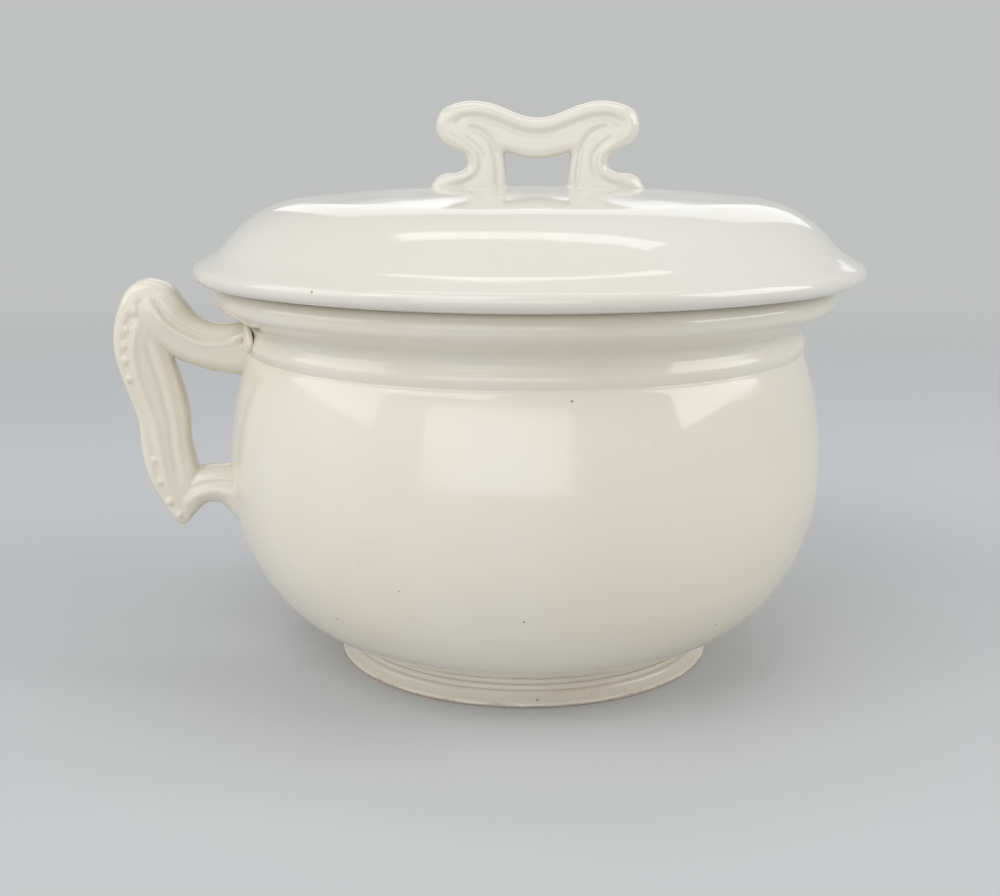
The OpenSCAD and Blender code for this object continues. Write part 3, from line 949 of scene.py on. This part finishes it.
@dataclass
class LidHandle(Moulded):
    """The scrolled bridge on the lid: rim bead, lobed ends, curved posts and toes."""

    top: float = 212.25
    half: float = 8.0
    turn: float = LID_TURN
    shift: float = 4.6

    def place(self, across: float, side: float, up: float) -> Vector:
        """Gives a point from across and downward distances in the frame, in metres."""
        spot = Vector((across + self.shift, side, self.top - up)) * MM
        return Matrix.Rotation(math.radians(self.turn), 3, "Z") @ spot

    def parts(self) -> list[bpy.types.Object]:
        """Builds the bridge and the low mound that it stands on."""
        return [self.bridge(), self.mound()]

    def bridge(self) -> bpy.types.Object:
        """Builds the bridge from one toe, over the dip, to the other toe.

        Returns:
            The bridge.
        """
        half_outer = [
            (0.0, 6.15), (5.0, 5.5), (10.0, 3.75), (15.0, 1.7), (20.0, 0.4), (25.0, 0.0), (30.0, 0.8),
            (34.5, 2.5), (37.0, 4.9), (38.2, 8.5), (37.7, 12.0), (36.0, 14.9), (33.0, 16.9),
            (29.9, 18.2), (27.4, 20.0), (26.5, 22.5), (27.3, 24.8), (30.2, 26.25), (34.3, 26.6),
            (37.7, 28.0), (39.9, 30.6), (40.8, 33.4)]
        half_inner = [
            (0.0, 21.2), (2.6, 21.05), (5.2, 20.7), (7.3, 20.15), (8.9, 19.65), (10.2, 19.2),
            (11.0, 18.95), (11.5, 18.9), (11.9, 18.95), (12.15, 19.1), (12.3, 19.4), (12.35, 19.8),
            (12.35, 20.3), (12.3, 20.9), (12.2, 21.7), (12.0, 23.3), (11.75, 25.0), (11.5, 26.8),
            (11.3, 28.4), (11.1, 30.0), (10.95, 31.6), (10.8, 33.6)]
        outer = [(-x, y, 1.0) for x, y in half_outer[:0:-1]] + [(x, y, 1.0) for x, y in half_outer]
        inner = [(-x, y) for x, y in half_inner[:0:-1]] + half_inner
        border = [
            (5.0, 8.5), (10.0, 6.8), (15.0, 4.8), (20.0, 3.5), (25.0, 3.1), (30.0, 3.9), (34.0, 6.2),
            (35.2, 9.0), (34.2, 12.0), (31.0, 14.4), (27.5, 16.0), (24.5, 18.6), (23.5, 22.4),
            (24.4, 25.6), (27.5, 28.0), (32.0, 29.2), (36.0, 30.8), (38.0, 33.0)]
        groove = [
            (5.0, 11.7), (10.0, 10.0), (15.0, 8.0), (20.0, 6.5), (25.0, 6.0), (28.5, 6.8), (30.5, 9.0)]
        waist = [
            (29.0, 13.4), (26.2, 15.0), (22.8, 17.8), (21.0, 20.8), (20.9, 24.0), (22.6, 27.2),
            (26.0, 29.6), (31.0, 31.2)]
        scroll = [
            (26.5, 9.6), (22.5, 10.6), (19.0, 13.0), (16.8, 16.5), (15.6, 20.5), (15.0, 25.0),
            (14.9, 29.0), (15.2, 33.5)]
        sides = [Mark(tuple((way * x, y) for x, y in line), height, width)
                 for line, height, width in ((waist, -0.45, 1.2), (scroll, -0.7, 1.0)) for way in (-1, 1)]
        slab = Slab(self.half * 0.9, 4.0, 7.0, (
            self.both(border, (0.0, 9.2), 0.7, 1.6), self.both(groove, (0.0, 12.3), -0.65, 1.1), *sides))
        return self.band(outer, inner, slab, 4)

    def both(self, half: Sequence[Pair], middle: Pair, height: float, width: float) -> Mark:
        """Draws a line through the middle from one end to the other.

        Args:
            half: The line's points from the middle to one end.
            middle: Its point in the middle.
            height: How far it lifts the face.
            width: Its width.

        Returns:
            The line.
        """
        return Mark(tuple((-x, y) for x, y in half[::-1]) + (middle,) + tuple(half), height, width, 0.02)

    def mound(self) -> bpy.types.Object:
        """Builds the low mound of clay under the toes."""
        return self.bead(0.0, 0.0, 32.8, 20.0, (2.02, 0.6, 0.08))


@dataclass
class Studio:
    """A pale floor that fades into pale surroundings, soft lights and the camera."""

    target: Triple = (0.0, 0.0, 0.1)
    pale: Colour = (0.56, 0.57, 0.585, 1.0)
    sky: Colour = (0.985, 0.995, 1.0, 1.0)
    backdrop: float = 0.53
    fill: float = 0.32
    near: float = 0.3
    far: float = 1.4
    eye: Triple = (-0.0746, -0.5308, 0.197)
    pitch: float = 77.59
    heading: float = -6.98
    lens: float = 50.0
    sensor: float = 36.0

    def build(self) -> None:
        """Builds the floor, the lights, the surroundings and the camera."""
        self.floor()
        self.light("key", (-0.75, -0.8, 1.2), 1.1, 0.9, 6.4)
        self.light("front", (-0.55, -1.7, 0.42), 1.8, 0.9, 8.0)
        self.light("right", (1.35, -0.4, 0.9), 1.3, 1.0, 12.0)
        self.light("left", (-1.35, -0.05, 0.9), 1.3, 1.0, 6.8)
        self.light("back", (0.3, 1.4, 0.85), 1.4, 0.8, 2.6)
        self.light("strip", (0.05, 0.15, 1.25), 1.1, 0.2, 1.8)
        self.surroundings()
        self.camera()

    def seen(self, graph: Graph) -> Socket:
        """Tells what the camera sees from what only lights the pot.

        Args:
            graph: The nodes to add to.

        Returns:
            1 for what the camera sees, straight or in the glaze, and 0 for light.
        """
        path = graph.add("ShaderNodeLightPath").outputs
        mirrored = graph.maths("MAXIMUM", path["Is Glossy Ray"], path["Is Transmission Ray"])
        return graph.maths("MAXIMUM", path["Is Camera Ray"], mirrored)

    def floor(self) -> None:
        """Builds the plain floor, which fades into the surroundings far from the pot."""
        deselect()
        bpy.ops.mesh.primitive_circle_add(vertices=96, radius=self.far * 4, fill_type="NGON")
        sheet = bpy.context.active_object
        sheet.name = "floor"
        material = bpy.data.materials.new("floor")
        graph = Graph(material)
        place = graph.add("ShaderNodeTexCoord").outputs["Object"]
        reach = graph.add("ShaderNodeVectorMath", {0: place}, operation="LENGTH").outputs["Value"]
        fade = graph.maths("MULTIPLY", graph.span(reach, self.near, self.far), self.seen(graph))
        plain = graph.add("ShaderNodeBsdfPrincipled", {"Base Color": self.pale, "Roughness": 0.75})
        glow = graph.add("ShaderNodeEmission", {"Color": self.sky, "Strength": self.backdrop})
        surface = graph.add("ShaderNodeMixShader", {0: fade, 1: plain.outputs[0], 2: glow.outputs[0]})
        graph.add("ShaderNodeOutputMaterial", {"Surface": surface.outputs[0]})
        sheet.data.materials.append(material)

    def light(self, name: str, place: Triple, wide: float, tall: float, power: float) -> None:
        """Adds a soft light that faces the pot.

        Args:
            name: The light's name.
            place: Where it stands.
            wide: Width of its face.
            tall: Height of its face.
            power: Power in watts.
        """
        deselect()
        bpy.ops.object.light_add(type="AREA", location=place)
        lamp = bpy.context.active_object
        lamp.name = lamp.data.name = name
        lamp.data.shape = "RECTANGLE"
        lamp.data.size = wide
        lamp.data.size_y = tall
        lamp.data.energy = power
        lamp.rotation_euler = (Vector(self.target) - Vector(place)).to_track_quat("-Z", "Y").to_euler()

    def surroundings(self) -> None:
        """Sets the plain pale surroundings."""
        world = bpy.data.worlds.new("studio")
        bpy.context.scene.world = world
        graph = Graph(world)
        strength = graph.span(self.seen(graph), 0.0, 1.0, self.fill, self.backdrop)
        ground = graph.add("ShaderNodeBackground", {"Color": self.sky, "Strength": strength})
        graph.add("ShaderNodeOutputWorld", {"Surface": ground.outputs[0]})
        bpy.context.scene.view_settings.view_transform = "Standard"

    def camera(self) -> None:
        """Places the camera where the photograph was taken."""
        deselect()
        turn = (math.radians(self.pitch), 0.0, math.radians(self.heading))
        bpy.ops.object.camera_add(location=self.eye, rotation=turn)
        camera = bpy.context.active_object
        camera.name = "camera"
        camera.data.lens = self.lens
        camera.data.sensor_width = self.sensor
        camera.data.sensor_fit = "HORIZONTAL"
        camera.data.clip_start = 0.01
        camera.data.dof.use_dof = False
        bpy.context.scene.camera = camera


def main() -> None:
    """Builds every piece and the studio."""
    logging.basicConfig(level=logging.INFO, format="%(message)s")
    # Each glaze's third colour darkens its hollows, partly as glaze pooling and partly as painted shade,
    # and colours its craze lines.
    pot = Glaze(
        "ivory_pot", tone=(0.785, 0.745, 0.65, 1.0), warm=(0.765, 0.715, 0.6, 1.0),
        pool_shade_and_craze=(0.6, 0.53, 0.42, 1.0), gloss=0.085, specks=0.03)
    lid = Glaze(
        "ivory_lid", tone=(0.75, 0.731, 0.678, 1.0), warm=(0.736, 0.708, 0.634, 1.0),
        pool_shade_and_craze=(0.58, 0.515, 0.42, 1.0), gloss=0.07, specks=0.03)
    foot = Glaze(
        "ivory_foot", tone=(0.8, 0.76, 0.67, 1.0), warm=(0.77, 0.715, 0.61, 1.0),
        pool_shade_and_craze=(0.5, 0.42, 0.31, 1.0), gloss=0.12, specks=0.06, bare=Bare.BELOW, bare_line=0.0012)
    flange = Glaze(
        "wiped_flange", tone=(0.77, 0.72, 0.63, 1.0), warm=(0.73, 0.67, 0.56, 1.0),
        pool_shade_and_craze=(0.52, 0.44, 0.33, 1.0), gloss=0.2, specks=0.05, bare=Bare.ALL)
    turn = math.radians(LID_TURN)
    set_down = (LID_SHIFT * math.cos(turn), LID_SHIFT * math.sin(turn))
    pieces: list[Piece] = [
        PotShell("pot_shell", "pot_body", "pot", "pot_glaze", pot),
        FootRing("foot_band", "foot_ring", "pot", "foot_glaze", foot),
        PotHandle("ear_handle", "pot_handle", "pot", "pot_glaze", pot),
        LidDome("lid_cover", "lid_dome", "lid", "lid_glaze", lid, axis=set_down),
        LidFlange("lid_ring", "lid_flange", "lid", "flange_glaze", flange, axis=set_down),
        LidHandle("lid_bridge", "lid_handle", "lid", "lid_glaze", lid),
    ]
    for piece in pieces:
        piece.make()
    Studio().build()
    deselect()


if __name__ == "__main__":
    main()
